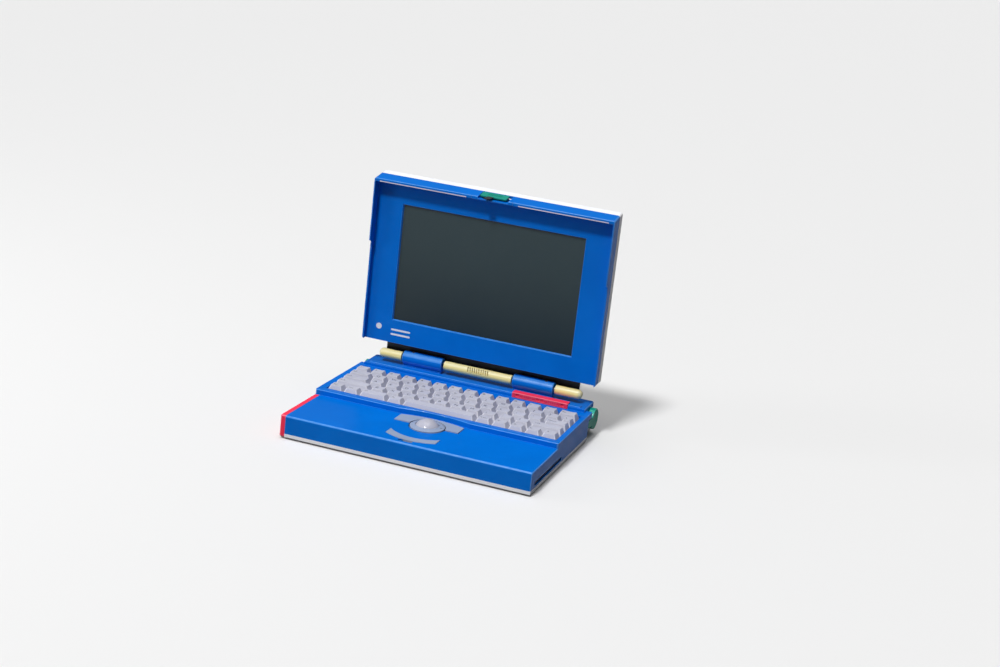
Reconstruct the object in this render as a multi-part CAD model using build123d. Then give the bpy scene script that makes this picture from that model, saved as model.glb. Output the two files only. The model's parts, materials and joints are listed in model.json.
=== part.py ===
from build123d import *
import os
from math import cos, radians, sin, sqrt

# A laptop with its lid standing upright, modelled in millimetres with +Z up.
# X runs to the right and Y to the rear. The origin lies on the table under the centre of the base.
# In the functions below, a depth is measured back from the front edge of the base,
# and a height is measured up from the underside of the case.

# Base
base_width = 286.0
base_depth = 236.0
foot_height = 1.6
shell = 2.2
seam_height = 4.5
floor_thickness = 2.0
palm_height = 25.0
palm_depth = 84.0
deck_height = 31.0
rear_strip = 29.0
rear_height = 34.5
edge_round = 1.6
front_round = 2.6

# Curved step between palm rest and keyboard deck
step_arc_half = 42.0
step_arc_rise = 5.5

# Bar behind the keyboard
bar_margin = 13.4
bar_length = 7.5
bar_height = 35.8
bar_overlap = 1.0

# Running gaps
gap = 0.3
slide_gap = 0.4
shaft_gap = 0.05

# Keyboard
key_pitch = 19.05
key_row_pitch = 17.5
key_margin_left = 7.3
key_margin_front = 13.5
key_gap = 0.9
key_top_height = 33.6
key_skirt_height = 26.6
key_taper = 3.0
key_rise_per_row = 0.35
key_wall = 1.2
stem_radius = 2.5
well_margin = 0.4
well_lip = 1.3
well_lip_front = 4.0
well_lip_side = 1.6
plate_bottom = 19.8
plate_thickness = 1.2
switch_size = 9.0
switch_height = 7.3
row_units = [
    [1, 1, 1.75, 1, 4.5, 1, 1, 1, 1, 1],
    [2.25] + [1] * 10 + [2],
    [1.75] + [1] * 11 + [1.5],
    [1.5] + [1] * 12 + [0.75],
    [1] * 13 + [1.25],
]
single_keys = {
    (0, 4): "space_bar",
    (1, 0): "left_shift_key",
    (1, 11): "right_shift_key",
    (2, 0): "caps_lock_key",
    (2, 12): "return_key",
    (3, 0): "tab_key",
    (4, 13): "delete_key",
}

# Trackball and its two buttons
ball_x = 1.5
ball_from_step = 22.5
ball_radius = 15.0
ball_height = 18.8
ring_outer = 19.0
ring_opening = 20.1
ring_cut = 20.4
ring_inner = 12.9
ring_top = 27.6
ring_edge = 25.8
ring_thickness = 4.7
housing_inner = 15.8
housing_outer = 18.6
upper_button_top = 25.9
lower_button_top = 25.2
button_bottom = 22.5
button_travel = 0.8
button_flange = 0.6
flange_thickness = 1.6
upper_button_half = 37.0
upper_button_front = 22.3
upper_button_crown = 2.5
upper_button_rise = 6.5
lower_button_inner = 41.0
lower_button_outer = 51.5
lower_button_half = 28.7
roller_radius = 2.0
roller_length = 10.0
encoder_radius = 3.4
encoder_offset = 3.4
encoder_width = 1.0
axle_radius = 0.9
sensor_board_height = 12.0
sensor_board_thickness = 1.2
button_switch_height = 1.8
button_post = 1.8

# Battery in the left of the palm rest
cover_thickness = 6.2
battery_length = 94.0
battery_depth = 74.0
battery_height = 19.0
contact_pitch = 6.0

# Hinge line
axis_from_rear = 19.4
axis_height = 45.0
barrel_radius = 7.8
barrel_wall = 1.4
left_barrel = (-93.0, -44.0)
right_barrel = (43.5, 92.6)
barrel_neck = 7.0
barrel_seat = 1.4
roll_radius = 5.4
roll_web = 5.0
left_roll = (-124.0, -95.0)
centre_roll = (-41.8, 41.5)
right_roll = (94.4, 126.2)
roll_slots = 10
roll_slot_pitch = 2.7
roll_slot_width = 1.1
roll_slot_centre = 0.5
clutch_radius = 6.0
clutch_length = 24.0
shaft_radius = 2.5
clutch_screw_inset = 11.0

# Lid, standing upright above the hinge
lid_gap = 16.2
lid_front_margin = 3.0
lid_slope = 5.2
lid_corner = 2.5
closed_gap = 0.5
lid_back_thickness = 12.0
lid_wall = 1.8
back_round = 2.0
bezel_to_back = 18.1
bezel_thickness = 2.4
rim_side = 1.8
rim_top_wall = 8.8
rim_round = 1.3
screen_half = 109.9
screen_foot = 27.0
screen_tall = 138.0
screen_bevel = 1.0
lcd_margin = 3.0
lcd_thickness = 2.2
bracket_half = 119.5
bracket_thickness = 0.8
bracket_drop = 2.6
bracket_rise = 29.0
tongue_thickness = 1.5

# Latch on the lid's upper rim
latch_left = -16.5
latch_right = 14.5
latch_travel = 4.0
latch_inset = 5.9
latch_thickness = 1.6
latch_body_length = 5.8
latch_sunk = 0.2
hook_left = -7.5
hook_right = -0.5
hook_depth = 5.6
hook_thickness = 1.2
hook_out = 7.1
hook_barb = 1.2
slot_clearance = 1.5
slot_depth_clearance = 1.4
recess_floor = 1.2
strip_gap_left = 14.3
strip_gap_right = 16.4
groove_gap_left = 7.8
groove_gap_right = 9.9
strip_margin = 7.0
strip_height = 1.2

# Red control bar with two sliding controls
control_left = 49.0
control_right = 115.5
control_length = 9.6
control_height = 37.0
control_forward = 2.0
thumb_length = 20.0
thumb_travel = 4.0
thumb_height = 3.0
thumb_inset = 4.5
thumb_stem = 3.0

# Swing-out feet at the rear corners
foot_thickness = 7.0
foot_disc = 12.0
foot_from_rear = 12.2
foot_centre_height = 18.0
foot_leg = 21.0
foot_tip = 5.0
foot_pin = 2.2

# Door over the rear sockets, and the power button beside it
door_half = 104.0
door_low = 5.6
door_high = 28.4
door_thickness = 2.2
door_pin = 0.8
bay_from_rear = 8.6
socket_length = 8.0
power_x = 116.0
power_height = 17.0
power_radius = 4.5

# Inside parts
board_left = -54.0
board_right = 124.0
board_length = 114.0
board_height = 6.0
board_thickness = 1.6
disk_margin = 13.0
disk_width = 70.0
disk_length = 100.0
disk_height = 12.7
floppy_width = 98.8
floppy_front = 6.0
floppy_depth = 101.6
floppy_height = 14.0
floppy_slot_height = 4.8
floppy_slot_depth = 91.0
floppy_slot_rise = 4.3
speaker_radius = 14.0

# Screws and rubber feet
screw_head = 2.6
screw_head_height = 0.9
screw_shank = 1.3
boss_radius = 3.2
rubber_foot_radius = 5.5
rubber_foot_inset = 26.0

# Places that follow from the sizes above
half = base_width / 2
rear_half = half - foot_thickness
deck_depth = base_depth - rear_strip
bar_half_width = half - bar_margin
bar_depth = deck_depth + bar_overlap - bar_length
key_left = -half + key_margin_left
key_front = palm_depth + key_margin_front
key_right = key_left + sum(row_units[0]) * key_pitch
key_rear = key_front + len(row_units) * key_row_pitch
plate_top = plate_bottom + plate_thickness
floor_top = floor_thickness
palm_roof = palm_height - shell
deck_roof = deck_height - shell
cover_inner = -half + cover_thickness
battery_end = cover_inner + battery_length
battery_front = (palm_depth - battery_depth) / 2
step_arc_front = palm_depth + step_arc_rise
ball_depth = palm_depth - ball_from_step
roller_reach = ball_radius + roller_radius + gap
sensor_board_front = ball_depth - 49.5
sensor_board_rear = palm_depth - 4.0
cable_x = (right_barrel[0] + right_barrel[1]) / 2 - 13.1
button_posts = {
    "upper": [(ball_x - 31.5, palm_depth - 12.0), (ball_x + 30.0, palm_depth - 12.0)],
    "lower": [(ball_x - 20.5, ball_depth - 41.0), (ball_x + 20.5, ball_depth - 41.0)],
}
axis_depth = base_depth - axis_from_rear
clutch_spans = (
    (left_barrel[0] + barrel_wall + 0.1, left_barrel[0] + barrel_wall + 0.1 + clutch_length),
    (right_barrel[1] - barrel_wall - 0.1 - clutch_length, right_barrel[1] - barrel_wall - 0.1),
)
clutch_screw_x = (left_barrel[0] + clutch_screw_inset, right_barrel[1] - clutch_screw_inset + 0.5)
lid_half = half
lid_bottom = axis_height + lid_gap
lid_top = axis_height + axis_depth - lid_front_margin
lid_back = axis_depth + 10.8
lid_split = lid_back - lid_back_thickness
bezel_face = lid_back - bezel_to_back
rim_front = axis_depth - (axis_height - palm_height - closed_gap)
rim_front_low = axis_depth - (axis_height - deck_height - closed_gap)
rim_step = axis_height + axis_depth - palm_depth + 0.4
rim_under = lid_top - rim_top_wall
screen_low = lid_bottom + screen_foot
screen_high = screen_low + screen_tall
bracket_front = lid_back - tongue_thickness - bracket_thickness
bracket_low = axis_height - bracket_drop
bracket_high = axis_height + bracket_rise
hook_low = lid_top - hook_depth
hook_high = hook_low + hook_thickness
hook_reach = rim_front - hook_out
latch_front = rim_front + latch_inset
latch_back = lid_split - 1.0
latch_body_front = latch_back - latch_body_length
latch_body_low = rim_under + 0.8
spring_depth = latch_back - 2.9
spring_height = latch_body_low + 2.4
slot_left = hook_left - hook_barb - gap
slot_right = hook_right + latch_travel + slot_clearance * 2
slot_front = axis_depth - (hook_high - axis_height) - slot_clearance - 0.7
slot_rear = axis_depth - (hook_low - axis_height) + slot_depth_clearance
strip_spans = (
    (-half + strip_margin, latch_left - strip_gap_left),
    (latch_right + strip_gap_right, half - strip_margin),
)
control_front = bar_depth - control_forward
thumb_lefts = {
    "contrast": control_left + thumb_inset + thumb_travel,
    "brightness": control_right - thumb_inset - thumb_travel - thumb_length,
}
foot_centre_depth = base_depth - foot_from_rear
bay_depth = base_depth - bay_from_rear
board_rear = base_depth - 10.0
board_front = board_rear - board_length
disk_left = -half + disk_margin
disk_front = palm_depth + 12.0
floppy_right = half - shell
floppy_left = floppy_right - floppy_width
slot_low = floor_top + floppy_slot_rise
pillar_spots = [
    (-30.0, key_front + 10.1),
    (20.0, key_front + 10.1),
    (-half + shell + boss_radius + 0.6, key_front + 59.1),
    (key_right - 2.8, key_front + 59.1),
]
case_spots = [
    (-37.6, 8.0),
    (37.6, 8.0),
    (-half + 14.4, base_depth - 6.6),
    (half - 14.4, base_depth - 6.6),
]


def y_of(depth):
    """Y of a depth measured back from the front edge."""
    return depth - base_depth / 2


def z_of(height):
    """Z of a height measured up from the underside of the case."""
    return height + foot_height


def block(x0, x1, depth0, depth1, height0, height1):
    """A box between two corners."""
    middle = ((x0 + x1) / 2, y_of((depth0 + depth1) / 2), z_of((height0 + height1) / 2))
    return Pos(*middle) * Box(x1 - x0, depth1 - depth0, height1 - height0)


def soft_block(x0, x1, depth0, depth1, height0, height1, radius):
    """A box whose four upright edges are rounded."""
    outline = RectangleRounded(x1 - x0, depth1 - depth0, radius)
    low = ((x0 + x1) / 2, y_of((depth0 + depth1) / 2), z_of(height0))
    return Pos(*low) * extrude(outline, height1 - height0)


def rod_x(x0, x1, depth, height, radius):
    """A round rod along X."""
    return Pos((x0 + x1) / 2, y_of(depth), z_of(height)) * Rot(0, 90, 0) * Cylinder(radius, x1 - x0)


def rod_y(x, height, depth0, depth1, radius):
    """A round rod along Y."""
    return Pos(x, y_of((depth0 + depth1) / 2), z_of(height)) * Rot(90, 0, 0) * Cylinder(radius, depth1 - depth0)


def rod_z(x, depth, height0, height1, radius):
    """A round rod along Z."""
    return Pos(x, y_of(depth), z_of((height0 + height1) / 2)) * Cylinder(radius, height1 - height0)


def along_x(points, x0, x1):
    """A prism along X whose outline is given as (depth, height) points."""
    line = Polyline(*[(0, y_of(d), z_of(h)) for d, h in points], close=True)
    return Pos(x0, 0, 0) * extrude(make_face(line), x1 - x0, dir=(1, 0, 0))


def round_edges(shape, radius, keep):
    """Rounds the edges whose centre passes the test keep(x, depth, height)."""
    chosen = []
    for edge in shape.edges():
        c = edge.center()
        if keep(c.X, c.Y + base_depth / 2, c.Z - foot_height):
            chosen.append(edge)
    return fillet(chosen, radius)


def near(a, b):
    return abs(a - b) < 0.01


def save(name, shape):
    """Writes one node, keeping each of its pieces as a separate solid."""
    pieces = shape if isinstance(shape, list) else [shape]
    solids = [solid for piece in pieces for solid in piece.solids()]
    export_step(solids[0] if len(solids) == 1 else Compound(solids), f"parts/{name}.step")


# Outlines shared by the palm rest and the buttons

def step_face(offset, back):
    """Plan outline from the curved step, moved back by offset, to the depth back."""
    front = palm_depth + offset
    left = (-half, y_of(front))
    arc_left = (-step_arc_half, y_of(front))
    arc_right = (step_arc_half, y_of(front))
    right = (half, y_of(front))
    arc = ThreePointArc(arc_left, (0, y_of(front + step_arc_rise)), arc_right)
    rest = Polyline(arc_right, right, (half, y_of(back)), (-half, y_of(back)), left, arc_left)
    return make_face([arc, rest])


def upper_button_plan(grow):
    """Plan of the upper button, grown all round by grow: straight in front and curved behind."""
    crown = palm_depth + upper_button_crown
    radius = (upper_button_half**2 + upper_button_rise**2) / (2 * upper_button_rise)
    wing = upper_button_half + grow
    corner = crown - radius + sqrt((radius + grow)**2 - wing**2)
    foot = palm_depth - upper_button_front - grow
    arc = ThreePointArc((-wing, y_of(corner)), (0, y_of(crown + grow)), (wing, y_of(corner)))
    sides = Polyline((wing, y_of(corner)), (wing, y_of(foot)), (-wing, y_of(foot)), (-wing, y_of(corner)))
    return make_face([arc, sides]) - Pos(ball_x, y_of(ball_depth)) * Circle(ring_cut - grow)


def lower_button_plan(grow):
    """Plan of the curved lower button, a band about the ball's centre, grown by grow."""
    inner = lower_button_inner - grow
    outer = lower_button_outer + grow
    wing = lower_button_half + grow

    def spot(radius, x):
        return (x, y_of(ball_depth - sqrt(radius**2 - (x - ball_x)**2)))

    return make_face([
        ThreePointArc(spot(inner, -wing), spot(inner, ball_x), spot(inner, wing)),
        Line(spot(inner, wing), spot(outer, wing)),
        ThreePointArc(spot(outer, wing), spot(outer, ball_x), spot(outer, -wing)),
        Line(spot(outer, -wing), spot(inner, -wing)),
    ])


def raise_plan(plan, height0, height1):
    """Extrudes a plan between two heights."""
    return Pos(0, 0, z_of(height0)) * extrude(plan, height1 - height0)


# Case of the base

def palm_outer():
    shape = block(-half, half, 0, step_arc_front + 6, seam_height, palm_height)
    shape = round_edges(shape, front_round, lambda x, d, h: near(d, 0) and near(h, palm_height))
    return round_edges(shape, edge_round, lambda x, d, h: near(abs(x), half) and near(h, palm_height))


def deck_outer():
    shape = raise_plan(step_face(0, deck_depth), seam_height, deck_height)
    corner = lambda x, d, h: near(abs(x), half) and near(d, palm_depth) and h > palm_height / 2
    shape = round_edges(shape, 3.0, corner)
    return round_edges(shape, 1.0, lambda x, d, h: near(h, deck_height) and d < deck_depth - 1)


def rear_outer():
    shape = block(-rear_half, rear_half, deck_depth - 8, base_depth, seam_height, rear_height)
    back = lambda x, d, h: near(d, base_depth) and near(abs(x), rear_half)
    shape = round_edges(shape, 3.0, back)
    return round_edges(shape, 1.5, lambda x, d, h: near(h, rear_height) and d > deck_depth - 1)


def rear_bar():
    shape = block(-bar_half_width, bar_half_width, bar_depth, bar_depth + bar_length,
                  deck_height - 2, bar_height)
    return round_edges(shape, 0.9, lambda x, d, h: near(h, bar_height) and not near(d, bar_depth + bar_length))


def hollow_inside():
    """Room inside the top case, open at the seam and at the battery's end."""
    palm = block(-half - 1, half - shell, shell, step_arc_front + 6, 0, palm_height - shell)
    palm -= block(-half - 1, -half + shell, palm_depth - shell, step_arc_front + 8, 0, palm_height)
    deck = raise_plan(step_face(shell, deck_depth - shell), 0, deck_height - shell)
    deck &= block(-half + shell, half - shell, 0, base_depth, 0, deck_height)
    rear = block(-rear_half + shell, rear_half - shell, deck_depth - shell - 4, base_depth - shell,
                 0, rear_height - shell)
    return palm + deck + rear


def well_collar():
    """Thicker edge of the deck round the keys."""
    return block(-half + shell - 0.5, half - shell + 0.5, palm_depth + shell - 0.5, key_rear + 8.5,
                 key_skirt_height - 0.6, deck_roof + 0.5)


def well_slope():
    """Slope from the deck's ridge down to the keys, in front of them and at both sides."""
    low = deck_height - well_lip
    edge = half - well_lip_side
    sections = []
    for height, x0, x1, front in ((low, key_left - well_margin, key_right + well_margin, key_front - 0.1),
                                  (deck_height, -edge, edge, palm_depth + well_lip_front)):
        rear = key_rear + 0.4
        middle = ((x0 + x1) / 2, y_of((front + rear) / 2), z_of(height))
        sections.append(Plane(origin=middle) * Rectangle(x1 - x0, rear - front))
    return loft(sections)


def foot_notch(side):
    """Room beside the base for a swing-out foot's leg, open downwards."""
    front = foot_centre_depth - foot_leg - foot_tip - 1.0
    high = foot_centre_height + foot_tip + 1.0
    shape = block(rear_half, half + 1, front, deck_depth + 1, -1, high)
    return shape if side > 0 else mirror(shape, about=Plane.YZ)


def notch_wall(side):
    """Wall that closes the case behind a foot's notch."""
    front = foot_centre_depth - foot_leg - foot_tip - 1.0 - shell
    high = foot_centre_height + foot_tip + 1.0 + shell
    shape = block(rear_half - shell, half - shell, front, deck_depth - shell, floor_top, high)
    return shape if side > 0 else mirror(shape, about=Plane.YZ)


def barrel_seats():
    """Pads on the rear shelf that carry the hinge covers."""
    shapes = []
    for x0, x1 in (left_barrel, right_barrel):
        shapes.append(block(x0 + 1, x1 - 1, axis_depth - barrel_neck / 2, axis_depth + barrel_neck / 2,
                            rear_height - 1, rear_height + barrel_seat))
    return shapes


def top_case():
    shape = palm_outer() + deck_outer() + rear_outer() + rear_bar()
    shape -= hollow_inside()
    for side in (-1, 1):
        shape += notch_wall(side)
        shape -= foot_notch(side)
    shape += barrel_seats()
    shape += well_collar() & raise_plan(step_face(shell - 0.5, deck_depth), 0, deck_height)
    # battery end, key well and the openings of the palm rest
    shape -= block(-half - 1, cover_inner + gap, -1, palm_depth - 0.4, 0, palm_height + 1)
    shape -= block(key_left - well_margin, key_right + well_margin, key_front - 0.1, key_rear + 0.4,
                   palm_height - shell, deck_height + 1)
    shape -= well_slope()
    shape -= raise_plan(upper_button_plan(slide_gap), palm_height - shell - 1, palm_height + 1)
    shape -= raise_plan(lower_button_plan(slide_gap), palm_height - shell - 1, palm_height + 1)
    shape -= rod_z(ball_x, ball_depth, palm_height - shell - 1, palm_height + 3, ring_opening)
    shape -= block(slot_left, slot_right, slot_front, slot_rear, palm_height - shell - 1, palm_height + 1)
    # disk slot in the right side, socket door and power button at the back
    mid = floppy_front + floppy_depth / 2
    shape -= block(half - shell - 1, half + 1, mid - floppy_slot_depth / 2, mid + floppy_slot_depth / 2,
                   slot_low, slot_low + floppy_slot_height)
    shape -= block(-door_half - gap, door_half + gap, base_depth - shell - 1, base_depth + 1,
                   door_low - 0.4, door_high + 0.4)
    for side in (-1, 1):
        shape -= rod_x(side * (door_half + 1.2) - 1.5, side * (door_half + 1.2) + 1.5,
                       base_depth - door_thickness / 2 - 0.2, door_low + 1.2, door_pin + shaft_gap)
    shape -= rod_y(power_x, power_height, base_depth - shell - 1, base_depth + 1, power_radius + gap)
    # seat of the red control bar, cable way and screw holes of the hinge
    shape -= block(control_left - gap, control_right + gap, control_front - 1, control_front + control_length + gap,
                   deck_height, bar_height + 2)
    shape -= block(cable_x - 6, cable_x + 6, axis_depth - 2.2, axis_depth + 2.2, rear_height - shell - 1, rear_height + 3)
    # posts that hang the key plate, and screw bosses
    edge = key_left - 2.7
    back = key_rear + 5.4
    for x, depth in [(edge, key_front + 9), (edge, key_rear - 6), (-90.0, back), (0.0, back), (90.0, back)]:
        shape += rod_z(x, depth, plate_top, deck_roof - 1.5, 2.4)
    for x, depth in case_spots:
        roof = palm_height if depth < palm_depth else rear_height
        shape += rod_z(x, depth, floor_top, roof - shell + 0.5, boss_radius)
        shape -= rod_z(x, depth, floor_top - 1, floor_top + 9, screw_shank)
    # pin sockets of the feet
    for side in (-1, 1):
        shape -= rod_x(side * (rear_half - 2) - 3, side * (rear_half - 2) + 3,
                       foot_centre_depth, foot_centre_height, foot_pin + shaft_gap)
    return shape


def bottom_case():
    shape = block(-half, half, 0, deck_depth, 0, seam_height)
    shape += block(-rear_half, rear_half, deck_depth - 8, base_depth, 0, seam_height)
    low_edge = lambda x, d, h: near(h, 0) and (near(abs(x), half) or near(d, 0) or near(d, base_depth))
    shape = round_edges(shape, 1.2, low_edge)
    room = block(-half + shell, half - shell, shell, deck_depth - shell, floor_top, seam_height + 1)
    room += block(-rear_half + shell, rear_half - shell, deck_depth - 12, base_depth - shell,
                  floor_top, seam_height + 1)
    shape -= room
    shape -= block(-half - 1, cover_inner + gap, -1, palm_depth - 0.4, -1, seam_height + 1)
    for side in (-1, 1):
        shape -= foot_notch(side)
    # pillars that carry the key plate, stand-offs of the boards, and screw holes
    for x, depth in pillar_spots:
        shape += rod_z(x, depth, floor_top - 0.5, plate_bottom, boss_radius)
        shape -= rod_z(x, depth, -1, screw_head_height, screw_head + 0.4)
        shape -= rod_z(x, depth, -1, plate_bottom + 1, screw_shank)
    for x, depth in case_spots:
        shape -= rod_z(x, depth, -1, screw_head_height, screw_head + 0.4)
        shape -= rod_z(x, depth, -1, floor_top + 1, screw_shank + 0.2)
    for x in (board_left + 6, (board_left + board_right) / 2 - 5, board_right - 6):
        for depth in (board_front + 6, board_rear - 21):
            shape += rod_z(x, depth, floor_top - 0.5, board_height, 2.6)
    for x in (-28, 30):
        for depth in (sensor_board_front + 4, sensor_board_rear - 4):
            shape += rod_z(x, depth, floor_top - 0.5, sensor_board_height, 2.2)
    # shallow cooling slots under the hard disk
    for n in range(9):
        x = disk_left + 11 + n * 6
        shape -= block(x, x + 2.2, disk_front + 30, disk_front + 60, -1, floor_top + 1)
    return shape


def rubber_feet():
    spots = [(sx * (half - rubber_foot_inset), d) for sx in (-1, 1)
             for d in (rubber_foot_inset, base_depth - rubber_foot_inset)]
    return [rod_z(x, d, -foot_height, 0, rubber_foot_radius) for x, d in spots]


def screw(x, depth, head_low, length):
    """A screw driven upwards, with its head low and a cross-shaped recess."""
    head = rod_z(x, depth, head_low, head_low + screw_head_height, screw_head)
    head -= block(x - 1.4, x + 1.4, depth - 0.35, depth + 0.35, head_low - 1, head_low + 0.5)
    head -= block(x - 0.35, x + 0.35, depth - 1.4, depth + 1.4, head_low - 1, head_low + 0.5)
    return head + rod_z(x, depth, head_low + screw_head_height, head_low + length, screw_shank - 0.1)


def case_screws():
    shapes = [screw(x, depth, 0.0, 14.0) for x, depth in pillar_spots]
    return shapes + [screw(x, depth, 0.0, 9.0) for x, depth in case_spots]


# Battery

def battery_cover():
    shape = block(-half, cover_inner, 0.6, palm_depth - 0.8, 0, palm_height)
    shape = round_edges(shape, 1.6, lambda x, d, h: near(x, -half) and 0.7 < d < palm_depth - 1)
    return round_edges(shape, 2.2, lambda x, d, h: near(d, 0.6) and near(h, palm_height))


def battery_pack():
    shape = soft_block(cover_inner, battery_end, battery_front, battery_front + battery_depth,
                       floor_top + gap, floor_top + gap + battery_height, 1.5)
    for n in range(4):
        depth = battery_front + 12.0 + n * contact_pitch
        shape -= block(battery_end - 1.0, battery_end + 1, depth, depth + 3.4, 8, 14)
    return shape


# Keyboard

def key_cells():
    """Every key as (row, place in the row, left edge, width, front edge)."""
    for row, units in enumerate(row_units):
        left = key_left
        for place, unit in enumerate(units):
            yield row, place, left, unit * key_pitch, key_front + row * key_row_pitch
            left += unit * key_pitch


def keycap(row, left, width, front):
    """A dished keycap with a hollow underside and a guide stem."""
    wide = width - key_gap
    deep = key_row_pitch - key_gap
    x = left + width / 2
    depth = front + key_row_pitch / 2
    top = key_top_height + key_rise_per_row * row
    low = Plane(origin=(x, y_of(depth), z_of(key_skirt_height)))
    high = Plane(origin=(x, y_of(depth) + 0.4, z_of(top)))
    cap = loft([
        low * RectangleRounded(wide, deep, 0.8),
        high * RectangleRounded(wide - 2 * key_taper, deep - 2 * key_taper + 0.6, 1.6),
    ])
    dish_radius = 42.0
    if wide < 3 * key_pitch:
        cap -= Pos(x, y_of(depth), z_of(top) - 0.55 + dish_radius) * Rot(90, 0, 0) * Cylinder(dish_radius, deep)
    roof = key_top_height - 2.1
    drawn_in = key_wall + key_taper * (roof - key_skirt_height) / (key_top_height - key_skirt_height)
    hollow = loft([
        Plane(origin=(x, y_of(depth), z_of(key_skirt_height - 0.01))) * Rectangle(wide - 2 * key_wall, deep - 2 * key_wall),
        Plane(origin=(x, y_of(depth), z_of(roof))) * Rectangle(wide - 2 * drawn_in, deep - 2 * drawn_in),
    ])
    return cap - hollow + rod_z(x, depth, key_skirt_height + 0.9, key_top_height - 1.9, stem_radius)


def keys():
    """Caps by node: some single keys, and the rest of each row together."""
    nodes = {}
    for row, place, left, width, front in key_cells():
        name = single_keys.get((row, place), f"key_row_{row + 1}")
        nodes.setdefault(name, []).append(keycap(row, left, width, front))
    return nodes


def key_switches():
    """One square switch under each key, bored for the cap's stem."""
    shapes = []
    for row, place, left, width, front in key_cells():
        size = min(switch_size, width - 7.7) / 2
        x = left + width / 2
        depth = front + key_row_pitch / 2
        deep = switch_size / 2
        body = block(x - size, x + size, depth - deep, depth + deep, plate_top, plate_top + switch_height)
        shapes.append(body - rod_z(x, depth, plate_top + 2.6, plate_top + switch_height + 1, stem_radius + 0.35))
    return shapes


def key_plate():
    shape = block(key_left - 3.5, key_right + 1.0, key_front + 0.2, key_rear + 7.5, plate_bottom, plate_top)
    for x, depth in pillar_spots:
        shape -= rod_z(x, depth, plate_bottom - 1, plate_top + 1, screw_shank)
    return shape


# Trackball

def trackball():
    return Pos(ball_x, y_of(ball_depth), z_of(ball_height)) * Sphere(ball_radius)


def trackball_ring():
    """Screw-in ring that holds the ball, with two finger notches."""
    outline = Polyline((ring_inner, ring_top - ring_thickness), (ring_outer, ring_top - ring_thickness), (ring_outer, ring_edge),
                       (ring_outer - 5, ring_top), (ring_inner, ring_top), close=True)
    turned = revolve(Plane.XZ * make_face(outline), Axis.Z)
    shape = Pos(ball_x, y_of(ball_depth), z_of(0)) * turned
    shape -= Pos(ball_x, y_of(ball_depth), z_of(ball_height)) * Sphere(ball_radius + slide_gap)
    for turn in (-1, 1):
        x = ball_x + turn * (ring_outer - 2.6)
        shape -= block(x - 1.2, x + 1.2, ball_depth - 1.0, ball_depth + 1.0, ring_edge, ring_top + 1)
    return shape


def roller_room(along):
    """Room cut in the housing for a roller that lies along X or along Y."""
    reach = roller_reach
    long = roller_length / 2 + 0.4
    wide = roller_radius + 0.5
    if along == "x":
        return block(ball_x - long, ball_x + long, ball_depth - reach - wide - 2, ball_depth - reach + wide + 2,
                     ball_height - wide, ball_height + wide)
    return block(ball_x + reach - wide - 2, ball_x + reach + wide + 2, ball_depth - long, ball_depth + long,
                 ball_height - wide, ball_height + wide)


def roller_ears(along):
    """Bearing blocks at both ends of a roller."""
    reach = roller_reach
    low = ball_height - 4
    high = ball_height + 3
    shapes = []
    for side in (-1, 1):
        middle = side * (roller_length / 2 + 1.7)
        if along == "x":
            shapes.append(block(ball_x + middle - 1.2, ball_x + middle + 1.2,
                                ball_depth - reach - 2.4, ball_depth - reach + 4, low, high))
        else:
            shapes.append(block(ball_x + reach - 4, ball_x + reach + 1.4,
                                ball_depth + middle - 1.2, ball_depth + middle + 1.2, low, high))
    return shapes


def trackball_housing():
    """Cup that holds the ball's ring and the rollers' bearings."""
    reach = roller_reach
    wheel = roller_length / 2 + encoder_offset
    shape = rod_z(ball_x, ball_depth, floor_top, ring_top - ring_thickness - 0.1, housing_outer)
    shape += roller_ears("x") + roller_ears("y")
    shape -= Pos(ball_x, y_of(ball_depth), z_of(ball_height)) * Sphere(housing_inner)
    shape -= rod_z(ball_x, ball_depth, ball_height, ring_top, housing_inner)
    shape -= roller_room("x") + roller_room("y")
    # bearing bores, and room for the slotted wheels
    shape -= rod_x(ball_x - 12, ball_x + 12, ball_depth - reach, ball_height, axle_radius + shaft_gap)
    shape -= rod_y(ball_x + reach, ball_height, ball_depth - 12, ball_depth + 12, axle_radius + shaft_gap)
    room = encoder_radius + 0.5
    shape -= rod_x(ball_x + wheel - 0.4, ball_x + wheel + 4, ball_depth - reach, ball_height, room)
    shape -= rod_y(ball_x + reach, ball_height, ball_depth - wheel - 4, ball_depth - wheel + 0.4, room)
    return shape


def roller(along_x_axis):
    """A roller turned by the ball, with the slotted wheel that its sensor counts."""
    reach = roller_reach
    end = roller_length / 2
    shape = Rot(0, 90, 0) * Cylinder(roller_radius, roller_length)
    axle = Rot(0, 90, 0) * Cylinder(axle_radius, roller_length + 2.9 + encoder_offset + encoder_width)
    shape += Pos((encoder_offset + encoder_width - 2.9) / 2, 0, 0) * axle
    middle = end + encoder_offset + encoder_width / 2
    wheel = Pos(middle, 0, 0) * Rot(0, 90, 0) * Cylinder(encoder_radius, encoder_width)
    for n in range(10):
        slot = Pos(0, 0, encoder_radius - 0.8) * Box(3, 0.7, 1.7)
        wheel -= Pos(middle, 0, 0) * Rot(n * 36, 0, 0) * slot
    shape += wheel
    if along_x_axis:
        return Pos(ball_x, y_of(ball_depth - reach), z_of(ball_height)) * shape
    return Pos(ball_x + reach, y_of(ball_depth), z_of(ball_height)) * Rot(0, 0, -90) * shape


def pressed_button(plan, top, post_spots):
    """A button with a flange that stops it under the palm rest, and posts to its switches."""
    shape = raise_plan(plan(0), button_bottom, top)
    flange = raise_plan(plan(button_flange), palm_roof - gap - flange_thickness, palm_roof - gap)
    shape += flange - rod_z(ball_x, ball_depth, floor_top, palm_roof, ring_cut + 0.5)
    low = sensor_board_height + sensor_board_thickness + button_switch_height + button_travel + 0.1
    for x, depth in post_spots:
        shape += rod_z(x, depth, low, button_bottom, button_post)
    return shape


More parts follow.
